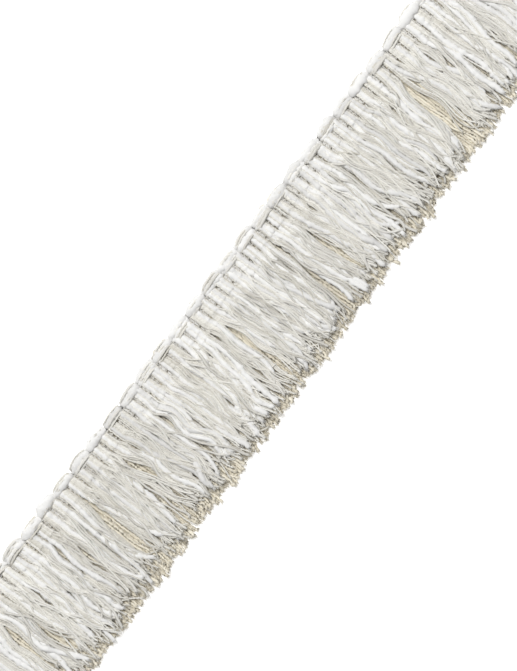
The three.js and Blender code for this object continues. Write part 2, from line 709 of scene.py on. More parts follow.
@dataclass
class Sizes:
    """The trimming's sizes and places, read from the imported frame, in millimetres."""

    loops: int = 0
    pitch: float = 0.0
    left: float = 0.0
    top_edge: float = 0.0
    heading_edge: float = 0.0
    bundle_low: float = 0.0
    bundle_high: float = 0.0
    rows: list[float] = field(default_factory=list)
    thread_low: float = 0.0
    ground_high: float = 0.0
    parting: float = 0.0
    back_high: float = 0.0
    front_high: float = 0.0
    back_drop: float = 0.0
    front_drop: float = 0.0
    sections: int = 0
    hanks: int = 0

    @classmethod
    def from_frame(cls) -> "Sizes":
        """Measures the CAD nodes.

        Returns:
            The sizes.
        """
        nodes = frame["nodes"]
        sizes = cls()
        sizes.loops = sum(name.startswith("edge_loop") for name in nodes)
        sizes.sections = sum(name.startswith("skirt_section") for name in nodes)
        sizes.hanks = sum(name.startswith("front_hank") for name in nodes)
        low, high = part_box("edge_loop_01")
        next_low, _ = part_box("edge_loop_02")
        sizes.pitch = (next_low.x - low.x) / 2 / MM
        sizes.left = ((low.x + high.x) / 2) / MM - sizes.pitch
        sizes.top_edge, sizes.heading_edge = high.y / MM, low.y / MM
        sizes.bundle_low, sizes.bundle_high = low.z / MM, high.z / MM
        for row in ("lower", "middle", "upper"):
            low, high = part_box(f"{row}_chain_thread")
            sizes.rows.append((low.y + high.y) / 2 / MM)
            sizes.thread_low = low.z / MM
        sizes.ground_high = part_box("ground_weft_thread")[1].z / MM
        low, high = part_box("skirt_section_01")
        sizes.back_drop = sizes.heading_edge - low.y / MM
        low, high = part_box("front_hank_01")
        sizes.parting = sizes.heading_edge - high.y / MM
        sizes.front_drop = sizes.heading_edge - low.y / MM
        sizes.back_high, sizes.front_high = low.z / MM, high.z / MM
        return sizes

    def rib_middle(self, rib: int) -> float:
        """Where the middle of a rib lies along the trimming."""
        return self.left + (rib + 0.5) * self.pitch


# ------------------------------------------------------------------------------------- the weft's bundles


@dataclass
class BundleYarn:
    """One yarn of a weft bundle.

    Attributes:
        looped: whether it is seen in the heading. The others start hidden inside the bundle.
        spots: its place in the section of the loop's left rib, of the pad at the edge, and of the right rib:
            from the middle towards the inside of the loop, and above the middle.
    """

    style: YarnStyle
    radius: float
    shade: float
    looped: bool = True
    spots: list[Array] = field(default_factory=list)


@dataclass
class Bundle:
    """The yarns of one weft bundle, settled into a flattened round section."""

    half_width: float
    low: float
    high: float
    yarns: list[BundleYarn] = field(default_factory=list)

    squeeze: ClassVar[float] = 0.8
    settling_rounds: ClassVar[int] = 120
    lifts: ClassVar[dict[YarnStyle, float]] = {ROVING: 0.35, CORD: 0.35, MATTE: 0.05, BACK: -0.7}
    filling: ClassVar[float] = 0.444
    hidden_spread: ClassVar[float] = 1.18

    @classmethod
    def wound(cls, rng: np.random.Generator, sizes: Sizes) -> "Bundle":
        """Draws the yarns of a bundle and settles them.

        Args:
            rng: the source of what differs between bundles.
            sizes: the trimming's sizes.

        Returns:
            The bundle.
        """
        bundle = cls(cls.filling * sizes.pitch, sizes.bundle_low, sizes.bundle_high)
        tone = rng.normal(0, 0.08)
        wanted = (
            (ROVING, int(rng.choice((1, 2), p=(0.4, 0.6))), True),
            (CORD, int(rng.integers(8, 12)), True),
            (MATTE, int(rng.integers(3, 6)), True),
            (BACK, 5, True),
            (BACK, 6, False),
        )
        for style, count, looped in wanted:
            for _ in range(count):
                shade = float(np.clip(rng.normal(0.5 + tone, 0.26), 0, 1))
                bundle.yarns.append(BundleYarn(style, rng.uniform(*style.radius), shade, looped))
        sections = (bundle.rib_section(rng), bundle.pad_section(rng), bundle.rib_section(rng))
        for i, yarn in enumerate(bundle.yarns):
            yarn.spots = [section[i] for section in sections]
        return bundle

    @property
    def middle(self) -> float:
        """The height of the bundle's middle."""
        return (self.low + self.high) / 2

    @property
    def half_height(self) -> float:
        """Half of the bundle's thickness."""
        return (self.high - self.low) / 2

    def rib_section(self, rng: np.random.Generator) -> Array:
        """Pushes the yarns apart inside the section of a rib: rovings on top, back yarns below.

        The yarns that are seen then fill the rib's whole width, and the hidden ones reach a little further.

        Args:
            rng: the source of the first places.

        Returns:
            Each yarn's place.
        """
        radius = np.array([y.radius * self.squeeze for y in self.yarns])
        lift = np.array([self.lifts[y.style] for y in self.yarns])
        loose = np.array([y.looped for y in self.yarns])
        across = rng.uniform(-self.half_width, self.half_width, len(radius))
        rovings = np.array([y.style is ROVING for y in self.yarns])
        if rovings.sum() > 1:
            sides = np.linspace(-0.5, 0.5, rovings.sum()) * rng.choice((-1, 1)) + rng.normal(0, 0.1)
            across[rovings] = sides * self.half_width
        place = np.column_stack([across, lift * self.half_height])
        for _ in range(self.settling_rounds):
            gap = place[:, None] - place[None]
            distance = np.linalg.norm(gap, axis=2) + 1e-6
            lack = np.clip(radius[:, None] + radius[None] - distance, 0, None)
            lack *= loose[:, None] * loose[None]
            np.fill_diagonal(lack, 0)
            lighter = radius[None] ** 2 / (radius[:, None] ** 2 + radius[None] ** 2)
            place += 0.4 * np.sum(gap / distance[..., None] * (lack * lighter)[..., None], axis=1)
            place[:, 1] += 0.02 * lift
            room = np.column_stack([self.half_width - radius, self.half_height - radius])
            outside = np.sum((place / room) ** 4, axis=1, keepdims=True) ** 0.25
            place /= np.maximum(outside, 1)
        seen = np.array([y.looped and y.style is not BACK for y in self.yarns])
        full = np.array([y.radius for y in self.yarns])
        left, right = np.min((place[:, 0] - full)[seen]), np.max((place[:, 0] + full)[seen])
        place[:, 0] = (place[:, 0] - (left + right) / 2) * 2 * self.half_width / (right - left)
        place[~seen, 0] *= self.hidden_spread
        return place

    def pad_section(self, rng: np.random.Generator) -> Array:
        """Spreads the yarns over the pad at the edge: rovings side by side, the others behind or on them.

        Args:
            rng: the source of their places.

        Returns:
            Each yarn's place.
        """
        rovings = [y for y in self.yarns if y.style is ROVING]
        places = []
        for yarn in self.yarns:
            across, height = rng.uniform(-0.75, 1.15), rng.uniform(-0.2, 0.6)
            if yarn.style is ROVING:
                row = next(i for i, other in enumerate(rovings) if other is yarn)
                across = 2.4 * (0.5 - (row + 0.5) / len(rovings)) + rng.normal(0, 0.08)
                height = 0.3
            elif yarn.style is BACK:
                height = -0.7
            elif rng.random() < 0.3:
                height = rng.uniform(0.85, 1.1)
            places.append((across * self.half_width, height * self.half_height))
        return np.array(places)


# ------------------------------------------------------------------------------------------- the heading


@dataclass(frozen=True)
class LoopPad:
    """How one loop is turned over at the edge.

    Attributes:
        middle: where its middle lies along the trimming.
        lift: how far it stands out past the edge.
        lean: how far it leans along the trimming.
        slope: how much further out it stands for each millimetre to the right.
        puff: how far it rises over the ribs.
        fullness: how much thicker its rovings are than in a rib, as a share.
        reach: how far its two sides lie from its middle.
    """

    middle: float
    lift: float
    lean: float
    slope: float
    puff: float
    fullness: float
    reach: float


@dataclass
class Heading:
    """The looped, stitched band: weft loops, three chain rows and the ground weft behind them.

    Attributes:
        stitch_pinch: how much a chain row squeezes a rib, as a share.
        stitch_reach: how far across the trimming that is felt.
        row_pinch: how much of the pinch the lower, middle and upper rows have, as shares.
        foot: how far below the heading's edge the loops' ends reach, least and most.
        loop_start: how far past the upper row the pad begins.
        pad_sink: how far the yarns dive where they turn into the pad.
        overlap: how far the ends of a loop's yarns taper.
        leg_spread: how far a stitch's two legs lie from its middle.
        stitch_waver: how unevenly the chain is laid.
        pad_shape: points of the pad: how far along it, how far out over the middle of its yarn, and how
            high, all as shares.
    """

    sizes: Sizes
    bundles: list[Bundle]
    rng: np.random.Generator
    stitch_pinch: float = 0.2
    stitch_reach: float = 0.55
    row_pinch: tuple[float, float, float] = (0.5, 1.0, 1.0)
    foot: Span = (0.5, 1.1)
    loop_start: float = 0.35
    pad_sink: float = 0.6
    overlap: float = 0.35
    leg_spread: float = 0.27
    stitch_waver: float = 0.035
    pad_shape: tuple[tuple[float, float, float], ...] = (
        (-0.84, -0.60, 0.0),
        (-1.0, -0.45, 0.2),
        (-0.9, -0.22, 0.55),
        (-0.5, 0.05, 0.93),
        (0.0, 0.15, 1.0),
        (0.5, 0.05, 0.93),
        (0.9, -0.22, 0.55),
        (1.0, -0.45, 0.2),
        (0.84, -0.60, 0.0),
    )

    def make(self) -> list[bpy.types.Object]:
        """Builds every piece of the heading.

        Returns:
            The pieces, each riding on the heading's body.
        """
        made = [self._edge_loop(i, bundle) for i, bundle in enumerate(self.bundles)]
        rows = zip(("lower", "middle", "upper"), self.sizes.rows, strict=True)
        made += [self._chain(name, y) for name, y in rows]
        made.append(self._ground_weft())
        return made

    def pinch(self, y: Array) -> Array:
        """How much the chain rows squeeze a rib at each place across the trimming, from 0 to 1."""
        rows = zip(self.row_pinch, self.sizes.rows, strict=True)
        return sum(share * np.exp(-(((y - row) / self.stitch_reach) ** 2)) for share, row in rows)

    def _edge_loop(self, index: int, bundle: Bundle) -> bpy.types.Object:
        """One weft loop: up a rib, over the top edge and down the next rib.

        Args:
            index: the loop's number from the left, from 0.
            bundle: its yarns.

        Returns:
            The piece.
        """
        node = f"edge_loop_{index + 1:02d}"
        skein = Skein(f"{node}_yarns", self.rng)
        sizes, rng = self.sizes, self.rng
        rovings = sum(y.style is ROVING for y in bundle.yarns)
        pad = LoopPad(
            middle=sizes.rib_middle(2 * index) + sizes.pitch / 2,
            lift=rng.normal(0.1, 0.22),
            lean=rng.normal(0, 0.4),
            slope=rng.normal(0.05, 0.05),
            puff=rng.uniform(0.3, 0.6),
            fullness=0.55 if rovings > 1 else 1.1,
            reach=rng.normal(4.35, 0.12),
        )
        for yarn in bundle.yarns:
            if yarn.looped:
                self._wind(skein, bundle, yarn, pad)
        return dressed(skein.make(), node, body="heading")

    def _wind(self, skein: Skein, bundle: Bundle, yarn: BundleYarn, pad: LoopPad) -> None:
        """Winds one yarn of a bundle round its loop.

        Args:
            skein: the loop's yarns.
            bundle: the bundle.
            yarn: the yarn.
            pad: how the loop is turned over at the edge.
        """
        sizes, rng = self.sizes, self.rng
        foot, shoulder = sizes.heading_edge - rng.uniform(*self.foot), sizes.rows[2] + self.loop_start
        left, over, right = yarn.spots
        climb = np.linspace(0, 1, 14)
        y = foot + climb * (shoulder - foot)
        pinch = self.stitch_pinch * self.pinch(y)
        sink = self.pad_sink * np.clip((climb - 0.9) / 0.1, 0, 1)
        legs = []
        for side, spot in ((-1, left), (1, right)):
            x = side * (sizes.pitch / 2 - spot[0] * (1 - 0.6 * pinch))
            z = bundle.middle + spot[1] * (1 - pinch) - sink
            legs.append(np.column_stack([x, y, z]))
        along, sag, rise = np.array(self.pad_shape).T
        fullness = pad.fullness if yarn.style is ROVING else 0.2
        radius = yarn.radius * (1 + fullness)
        share = 0.5 - over[0] / (2 * bundle.half_width)
        lowest, highest = shoulder - 1.1 + 0.7 * radius, sizes.top_edge - radius
        middle = lowest + (highest - lowest) * share + rng.normal(0, 0.1)
        depth = bundle.middle - self.pad_sink + (over[1] + pad.puff + self.pad_sink) * rise
        band = np.column_stack([along * pad.reach, middle + sag * (0.6 + share), depth])
        path = np.concatenate([legs[0], band, legs[1][::-1]])
        rise = np.concatenate([np.zeros(len(climb)), rise, np.zeros(len(climb))])
        path[:, 1] += (pad.lift + pad.slope * path[:, 0]) * rise
        path[:, 0] += pad.middle + pad.lean * rise
        path[1:-1] += rng.normal(0, 0.05, (len(path) - 2, 3))
        reach = distance_along(path)
        path = refined(path, yarn.style.step)
        place = np.linspace(0, reach[-1], len(path))
        from_end = np.minimum(place, reach[-1] - place)
        slub = yarn.style.slub * np.clip((from_end - 1) / 2, 0, 1)
        swell = 1 + slub * uneven(rng, place, (3, 9)) + fullness * np.interp(place, reach, rise)
        thick = yarn.radius * swell * merged(from_end / self.overlap)
        skein.add(yarn.style, Strand(path, thick, yarn.shade))
        if yarn.style is ROVING:
            add_fuzz(skein, rng, path, thick, yarn, per_mm=3.0)

    def _chain(self, row: str, y: float) -> bpy.types.Object:
        """One row of chain stitches, a stitch for each rib.

        A stitch rises between two ribs, goes over the rib, turns round the next stitch's start, comes back
        over the rib, dives, and runs on behind it. The last one ends before it dives.

        Args:
            row: lower, middle or upper.
            y: where the row lies across the trimming.

        Returns:
            The piece.
        """
        node = f"{row}_chain_thread"
        sizes, pitch, spread = self.sizes, self.sizes.pitch, self.leg_spread
        over = sizes.thread_low - 0.75
        between = (sizes.bundle_low + sizes.bundle_high) / 2 + 0.55
        behind = 0.24
        stitch = (
            (0.00, 0.00, between - 0.9),
            (0.06, -0.22, between + 0.2),
            (0.28, -1.00, over - 0.12),
            (0.52, -1.05, over),
            (0.78, -1.00, over - 0.12),
            (1.02, -0.62, between + 0.35),
            (1.11, 0.00, between + 0.05),
            (1.02, 0.62, between + 0.35),
            (0.78, 1.00, over - 0.12),
            (0.52, 1.05, over),
            (0.28, 1.00, over - 0.12),
            (0.07, 0.35, between),
            (0.03, 0.10, between - 1.4),
            (0.12, 0.00, behind + 0.35),
            (0.40, 0.00, behind),
            (0.75, 0.00, behind),
            (0.96, 0.00, behind + 0.7),
        )
        points = []
        for rib in range(2 * sizes.loops):
            edge = sizes.left + rib * pitch
            if rib == 0:
                edge += 0.04 * pitch
            for along, side, height in stitch:
                points.append((edge + along * pitch, y + side * spread, height))
        dive = 6
        path = np.array(points[:-dive])
        path[:, 0] = np.minimum(path[:, 0], -sizes.left + 0.1)
        path += self.rng.normal(0, self.stitch_waver, path.shape)
        path = refined(path, THREAD.step)
        skein = Skein(f"{row}_chain_stitches", self.rng)
        radius = np.full(len(path), THREAD.radius[0])
        skein.add(THREAD, Strand(path, radius, 0.5))
        return dressed(skein.make(), node, body="heading")

    def _ground_weft(self) -> bpy.types.Object:
        """The thread of two ends that crosses the chain rows behind the ribs, back and forth."""
        sizes = self.sizes
        skein = Skein("ground_weft", self.rng)
        middle = (sizes.rows[0] + sizes.rows[2]) / 2
        swing = (sizes.rows[2] - sizes.rows[0]) / 2
        steps_per_rib = 8
        steps = np.arange(0, 2 * sizes.loops * steps_per_rib + 1)
        turn = steps / steps_per_rib * math.pi
        for side in (-1, 1):
            wave = -np.cos(turn) * (1 + 0.12 * np.cos(2 * turn))
            x = sizes.left + steps * sizes.pitch / steps_per_rib
            y = middle + swing * wave + side * 0.36
            z = np.full(len(x), sizes.ground_high - 0.34) + 0.06 * np.sin(turn * 3 + side)
            path = np.column_stack([x, y, z]) + self.rng.normal(0, 0.03, (len(x), 3))
            path = refined(path, GROUND.step)
            skein.add(GROUND, Strand(path, np.full(len(path), GROUND.radius[0]), 0.4 + 0.1 * side))
        return dressed(skein.make(), "ground_weft_thread", body="heading")


def merged(share: Array) -> Array:
    """The thickness of a yarn where it runs into its own next stretch, which lies in another piece.

    Both stretches are thinner inside the other and come up through its surface half way along.

    Args:
        share: how far each point lies from the stretch's end, from 0 to 1 inside the shared part.

    Returns:
        The thickness there, as a share of the full one.
    """
    return 0.84 + 0.16 * np.clip(share, 0, 1)


def dressed(piece: bpy.types.Object, node: str, body: str | None = None) -> bpy.types.Object:
    """Hides the CAD part that a piece stands for, and puts the piece on a CAD body if one is given.

    Args:
        piece: the piece.
        node: the CAD node that it stands for.
        body: the CAD body that it rides on, if any.

    Returns:
        The same piece.
    """
    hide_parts(node)
    if body:
        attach(piece, body)
    log.info("%s: %d triangles", piece.name, triangles(piece))
    return piece


def triangles(piece: bpy.types.Object) -> int:
    """How many triangles a piece's faces make."""
    return len(piece.data.loops) - 2 * len(piece.data.polygons)


def square_to(rng: np.random.Generator, way: Array) -> Array:
    """A random direction square to another.

    Args:
        rng: the source of the direction.
        way: the other direction, of unit length.

    Returns:
        The direction, of unit length.
    """
    outward = rng.normal(size=3)
    outward -= way * (outward @ way)
    return outward / (np.linalg.norm(outward) + TINY)


def add_fuzz(
    skein: Skein,
    rng: np.random.Generator,
    path: Array,
    radius: Array,
    yarn: BundleYarn,
    per_mm: float,
) -> None:
    """Adds the stray fibres that stand off a soft yarn.

    Args:
        skein: where the fibres go.
        rng: the source of their places and directions.
        path: the yarn's path.
        radius: the yarn's radius along it.
        yarn: the yarn.
        per_mm: how many fibres leave each millimetre of it.
    """
    style = FIBRE_OF[yarn.style.slot]
    shortest, longest, lowest = 0.4, 1.1, 0.08
    for _ in range(int(distance_along(path)[-1] * per_mm)):
        index = int(rng.integers(2, len(path) - 3))
        tangent = path[index + 1] - path[index]
        tangent /= np.linalg.norm(tangent) + TINY
        outward = square_to(rng, tangent)
        start = path[index] + outward * radius[index] * 0.85
        reach = rng.uniform(shortest, longest)
        way = tangent * rng.choice((-1.0, 1.0)) + outward * rng.uniform(0.4, 1.3) + rng.normal(0, 0.25, 3)
        way /= np.linalg.norm(way)
        bend = rng.normal(0, 0.3, 3)
        share = np.linspace(0, 1, 3)[:, None]
        fibre = start + reach * (way * share + bend * share**2)
        fibre[:, 2] = np.maximum(fibre[:, 2], lowest)
        thick = np.full(3, rng.uniform(*style.radius))
        # Painted light: each fibre takes a paler shade than its yarn, to lift the shade that falls on such
        # thin fibres.
        skein.add(style, Strand(fibre, thick, min(1.0, yarn.shade + 0.2)))


def add_fray(
    skein: Skein,
    rng: np.random.Generator,
    path: Array,
    radius: float,
    yarn: BundleYarn,
    count: int,
    length: Span,
    spread: float,
) -> None:
    """Opens the cut end of a yarn into a tuft of fibres.

    Args:
        skein: where the fibres go.
        rng: the source of their directions.
        path: the yarn's path, whose last point is the cut end.
        radius: the yarn's radius there.
        yarn: the yarn.
        count: the number of fibres.
        length: how far the shortest and the longest stand out.
        spread: how far they lean out, as a share of their length.
    """
    style = FIBRE_OF[yarn.style.slot]
    ahead = path[-1] - path[-4]
    ahead /= np.linalg.norm(ahead) + TINY
    lowest = 0.25
    for _ in range(count):
        outward = square_to(rng, ahead)
        start = path[-1] - ahead * rng.uniform(0.6, 2.0) + outward * radius * rng.uniform(0.2, 0.9)
        reach = rng.uniform(*length)
        lean = rng.uniform(0.1, 1) * spread
        share = np.linspace(0, 1, 4)[:, None]
        bend = rng.normal(0, 0.12, 3)
        fibre = start + reach * (ahead * share + outward * lean * share**1.5 + bend * share**2)
        fibre[:, 2] = np.maximum(fibre[:, 2], lowest)
        thick = np.full(4, rng.uniform(*style.radius) * 1.5) * np.linspace(1, 0.6, 4)
        shade = float(np.clip(yarn.shade + rng.normal(0.05, 0.15), 0, 1))
        skein.add(style, Strand(fibre, thick, shade))


# -------------------------------------------------------------------------------------------- the skirt


@dataclass
class Bed:
    """Yarns that lie side by side, as their places on a row of stations down the skirt.

    Attributes:
        x: the place along the trimming, a row for each yarn and a column for each station.
        z: the height, likewise.
        radius: the yarns' radii.
        end: how far down each yarn reaches.
        stations: how far down each station is.
        floor: the height of what the yarns lie on, at each station.
        ceiling: the height that none rises over, at each station.
    """

    x: Array
    z: Array
    radius: Array
    end: Array
    stations: Array
    floor: Array
    ceiling: Array

    held: ClassVar[float] = 0.4
    leash_slope: ClassVar[float] = 0.5
    give: ClassVar[float] = 0.45
    most_moved: ClassVar[float] = 0.3

    def settle(self, rounds: int, neighbours: int, weight: float, press: float) -> None:
        """Lets the yarns push each other apart and sink onto what is below them.

        Each yarn keeps its own waves: what moves it is smoothed along its length, as its stiffness would.
        Near the heading it can hardly move, because the stitches hold it there.

        Args:
            rounds: how often every yarn is moved.
            neighbours: how many yarns to each side can touch one.
            weight: how far a yarn sinks in a round.
            press: how near two yarns may lie, as a share of their radii.
        """
        start_x, start_z = self.x.copy(), self.z.copy()
        leash = self.leash_slope * np.clip(self.stations - self.held, 0, None)
        alive = (self.stations[None] <= self.end[:, None] + 1).astype(float)
        thick = self.radius[:, None] * (0.8 + 0.2 * np.clip(self.stations / 5, 0, 1))
        for _ in range(rounds):
            move_x, move_z = np.zeros_like(self.x), np.zeros_like(self.z)
            for step in range(1, neighbours + 1):
                gap_x = self.x[step:] - self.x[:-step]
                gap_z = self.z[step:] - self.z[:-step]
                distance = np.sqrt(gap_x**2 + gap_z**2) + 1e-6
                lack = np.clip((thick[step:] + thick[:-step]) * press - distance, 0, None)
                lack *= alive[step:] * alive[:-step] / distance
                lighter = thick[:-step] ** 2 / (thick[step:] ** 2 + thick[:-step] ** 2)
                move_x[step:] += gap_x * lack * lighter
                move_z[step:] += gap_z * lack * lighter
                move_x[:-step] -= gap_x * lack * (1 - lighter)
                move_z[:-step] -= gap_z * lack * (1 - lighter)
            self.x += np.clip(self.give * move_x, -self.most_moved, self.most_moved)
            self.z += np.clip(self.give * move_z, -self.most_moved, self.most_moved) - weight
            lowest = self.floor + thick
            self.z = np.clip(self.z, lowest, np.maximum(self.ceiling - thick, lowest))
            self.x = start_x + np.clip(self._stiff(self.x - start_x), -leash, leash)
            self.z = start_z + np.clip(self._stiff(self.z - start_z), -leash, leash)

    @staticmethod
    def _stiff(moved: Array) -> Array:
        """Smooths what moved each yarn along the yarn."""
        padded = np.pad(moved, ((0, 0), (1, 1)), mode="edge")
        return 0.25 * padded[:, :-2] + 0.5 * moved + 0.25 * padded[:, 2:]


@dataclass
class SkirtYarn:
    """One yarn below the stitches."""

    rib: int
    yarn: BundleYarn
    root_x: float
    root_z: float
    end: float


@dataclass(frozen=True)
class Layer:
    """How one layer of the skirt is cut and how its yarns lie.

    A pair gives a middle and a spread, or a least and a most.

    Attributes:
        back: whether it is the back layer.
        trim: how much of a rib's own unevenness its cut takes, as a share.
        cut: how far past the layer's edge a yarn is cut, middle and spread.
        odd: how many yarns are cut apart from the rest, as a share.
        odd_way: 1 if those are longer, -1 if they are shorter.
        odd_cut: how much longer or shorter they are, least and most.
        most_past: how far past the back layer's edge a yarn may reach.
        clump_lean: the spread of the lean that a rib's clumps share.
        own_lean: the spread of a clump's own lean.
        clump_wave: the height of a clump's waves, least and most.
        waver: how much of its own waves a yarn has, as a share.
        yarn_lean: the spread of one yarn's lean.
        gather: how far a clump draws together, as a share.
        weight: how far a yarn sinks in each round of settling.
        tip: how long the curled tip is, least and most.
        curl: the spread of how far a tip curls sideways.
        tip_rise: how far a tip rises, least and most.
        clearance: how far a yarn stays above what it may rest on.
    """

    back: bool
    trim: float
    cut: Span
    odd: float
    odd_way: int
    odd_cut: Span
    most_past: float
    clump_lean: float
    own_lean: float
    clump_wave: Span
    waver: float
    yarn_lean: float
    gather: float
    weight: float
    tip: Span
    curl: float
    tip_rise: Span
    clearance: float


BACK_LAYER = Layer(
    back=True,
    trim=0.6,
    cut=(0.1, 0.75),
    odd=0.05,
    odd_way=1,
    odd_cut=(0.8, 2.2),
    most_past=3.0,
    clump_lean=0.01,
    own_lean=0.0,
    clump_wave=(0.1, 0.2),
    waver=0.4,
    yarn_lean=0.02,
    gather=0.0,
    weight=0.02,
    tip=(3, 5),
    curl=0.7,
    tip_rise=(-0.3, 0.6),
    clearance=0.0,
)
FRONT_LAYER = Layer(
    back=False,
    trim=1.0,
    cut=(0.5, 2.0),
    odd=0.07,
    odd_way=-1,
    odd_cut=(2, 7),
    most_past=0.8,
    clump_lean=0.045,
    own_lean=0.075,
    clump_wave=(0.3, 1.15),
    waver=1.0,
    yarn_lean=0.045,
    gather=0.35,
    weight=0.05,
    tip=(5, 11),
    curl=0.9,
    tip_rise=(-1.2, 0.6),
    clearance=0.3,
)


@dataclass
class Skirt:
    """The loose yarns below the heading: a back layer in sections and front hanks that lie on it.

    Attributes:
        root: how far below the heading's edge the paths are settled from.
        station_step: the distance between two stations.
        hang_free: how far down the yarns are wholly free of the stitches.
        end_room: how far past the trimming's end a yarn may lean.
        stray: how many of the front's thin yarns cross over the others, as a share.
        tight_curl: how many of the front's tips curl far more than the rest, as a share.
        heading_overlap: how far a yarn's hidden start tapers.
        join_overlap: how far the stretches above and below the parting run into each other.
        bend_start: how far above a hinge a bend would begin. It is not used.
        bend_length: how far below a hinge a bend would end. It is not used.
    """

    sizes: Sizes
    bundles: list[Bundle]
    rng: np.random.Generator
    root: float = -1.0
    station_step: float = 1.0
    hang_free: float = 7.0
    end_room: float = 5.0
    stray: float = 0.15
    tight_curl: float = 0.2
    heading_overlap: float = 0.35
    join_overlap: float = 1.0
    bend_start: float = 0.4
    bend_length: float = 3.4

    def yarns_of(self, layer: Layer) -> list[SkirtYarn]:
        """The yarns of one layer, in order along the trimming.

        Args:
            layer: how the layer is cut.

        Returns:
            The yarns.
        """
        rng, sizes = self.rng, self.sizes
        drop = sizes.back_drop if layer.back else sizes.front_drop
        found = []
        for rib in range(2 * sizes.loops):
            left_rib = rib % 2 == 0
            rib_trim = rng.normal(0, 0.7)
            bundle = self.bundles[rib // 2]
            for yarn in bundle.yarns:
                if (yarn.style is BACK) != layer.back:
                    continue
                end = drop + layer.trim * rib_trim + rng.normal(*layer.cut)
                if rng.random() < layer.odd:
                    end += layer.odd_way * rng.uniform(*layer.odd_cut)
                end = min(end, sizes.back_drop + layer.most_past)
                across, height = yarn.spots[0 if left_rib else 2]
                root_x = sizes.rib_middle(rib) + (across if left_rib else -across)
                found.append(SkirtYarn(rib, yarn, root_x, bundle.middle + height, end))
        return sorted(found, key=lambda y: y.root_x)

    def lay(self, yarns: Sequence[SkirtYarn], layer: Layer) -> Bed:
        """Gives each yarn of a layer its first path and settles them together.

        Args:
            yarns: the layer's yarns.
            layer: how they lie.

        Returns:
            The settled bed.
        """
        rng, sizes = self.rng, self.sizes
        longest = max(y.end for y in yarns)
        stations = np.arange(self.root, longest + 2 * self.station_step, self.station_step)
        down = np.clip(stations, 0, None)
        free = np.clip(stations / self.hang_free, 0, 1)
        ease = free**2 * (3 - 2 * free)
        guides = [self._guides(down, ease, layer) for _ in range(2 * sizes.loops)]
        x = np.zeros((len(yarns), len(stations)))
        z = np.zeros_like(x)
        base = 0.0 if layer.back else sizes.back_high
        depth = (sizes.back_high if layer.back else sizes.front_high) - base
        drawn_in = layer.gather * ease * np.sin(math.pi * np.clip(down / longest, 0, 1) * 1.2)
        for i, item in enumerate(yarns):
            style = item.yarn.style
            offset = item.root_x - sizes.rib_middle(item.rib)
            clumps = len(guides[item.rib])
            group = int(np.clip((offset / sizes.pitch + 0.5) * clumps, 0, clumps - 1))
            inward = sizes.pitch * ((group + 0.5) / clumps - 0.5) - offset
            wave = rng.uniform(*style.waver) * layer.waver
            own = wave * uneven(rng, stations, style.waver_length, 2) * ease
            lean = rng.normal(0, layer.yarn_lean) * down * down / longest
            level = rng.uniform(0.1, 0.85 if style is ROVING else 0.95)
            if not layer.back and style is not ROVING and rng.random() < self.stray:
                lean += rng.normal(0, 0.17) * np.clip(down - rng.uniform(0, 14), 0, None)
                level = rng.uniform(1.0, 1.3)
            x[i] = item.root_x + 0.15 * offset * ease + guides[item.rib][group] + own + lean
            x[i] += inward * drawn_in
            x[i] = self._kept_in(x[i] - x[i, 0], item.root_x)
            z[i] = item.root_z + (base + level * depth - item.root_z) * ease
        radius = np.array([y.yarn.radius for y in yarns])
        ends = np.array([y.end for y in yarns])
        floor, ceiling = self._limits(stations, layer)
        bed = Bed(x, z, radius, ends, stations, floor, ceiling)
        bed.settle(rounds=70, neighbours=28, weight=layer.weight, press=0.97)
        return bed

    def _kept_in(self, lean: Array, root_x: float) -> Array:
        """Keeps a yarn near the trimming's end from leaning far past it.

        Args:
            lean: how far the yarn lies from its root, along the trimming.
            root_x: where its root is.

        Returns:
            The yarn's places along the trimming.
        """
        side = math.copysign(1, root_x)
        room = self.end_room - self.sizes.left - abs(root_x)
        outward = side * lean
        return root_x + side * np.minimum(outward, room * np.tanh(outward / room))

    def _limits(self, stations: Array, layer: Layer) -> tuple[Array, Array]:
        """The heights between which a layer's yarns lie.

        Args:
            stations: how far down each station is.
            layer: the layer.

        Returns:
            The lowest and the highest height at each station.
        """
        drop = np.clip(stations / 5, 0, 1)
        if layer.back:
            return 1.2 * (1 - drop), 3.0 + 0.6 * drop
        return 1.6 + (self.sizes.back_high - 1.7) * drop, self.sizes.thread_low + 3.6 * drop

    def _guides(self, down: Array, ease: Array, layer: Layer) -> list[Array]:
        """The shared lean and waves of the clumps that one rib's yarns part into.

        Args:
            down: how far down each station is.
            ease: how free the yarns are at each station, from 0 to 1.
            layer: how the layer's yarns lie.

        Returns:
            One sideways curve for each clump.
        """
        rng = self.rng
        clumps = 1 if layer.back else int(rng.integers(1, 4))
        shared_lean = rng.normal(0, layer.clump_lean)
        guides = []
        for _ in range(clumps):
            lean = shared_lean + rng.normal(0, layer.own_lean)
            height = rng.uniform(*layer.clump_wave)
            guides.append(lean * down + height * uneven(rng, down, (16, 38), 2) * ease)
        return guides

    def strand_path(self, item: SkirtYarn, bed: Bed, row: int, layer: Layer) -> tuple[Array, Array]:
        """The path of one yarn from the heading to its cut end.

        Args:
            item: the yarn.
            bed: its settled layer.
            row: the yarn's row in the bed.
            layer: how its tip lies.

        Returns:
            The points, and how far along the yarn each lies, counted from the heading's edge.
        """
        rng = self.rng
        start = rng.uniform(-0.8, -0.3)
        inside = (bed.stations > start + 0.3) & (bed.stations < item.end - 0.3)
        down = np.concatenate([[start], bed.stations[inside], [item.end]])
        x = np.interp(down, bed.stations, bed.x[row])
        z = np.interp(down, bed.stations, bed.z[row])
        y = self.sizes.heading_edge - down
        tip = rng.uniform(*layer.tip)
        share = np.clip((down - item.end + tip) / tip, 0, 1)
        curl = rng.normal(0, layer.curl)
        if not layer.back and rng.random() < self.tight_curl:
            curl *= 2.2
        x = x + curl * share**2
        y = y + abs(curl) * 0.25 * share**3
        z = z + rng.uniform(*layer.tip_rise) * share**2
        z = np.maximum(z, 1.3 * item.yarn.radius + layer.clearance)
        path = refined(np.column_stack([x, y, z]), item.yarn.style.step)
        return path, start + distance_along(path)

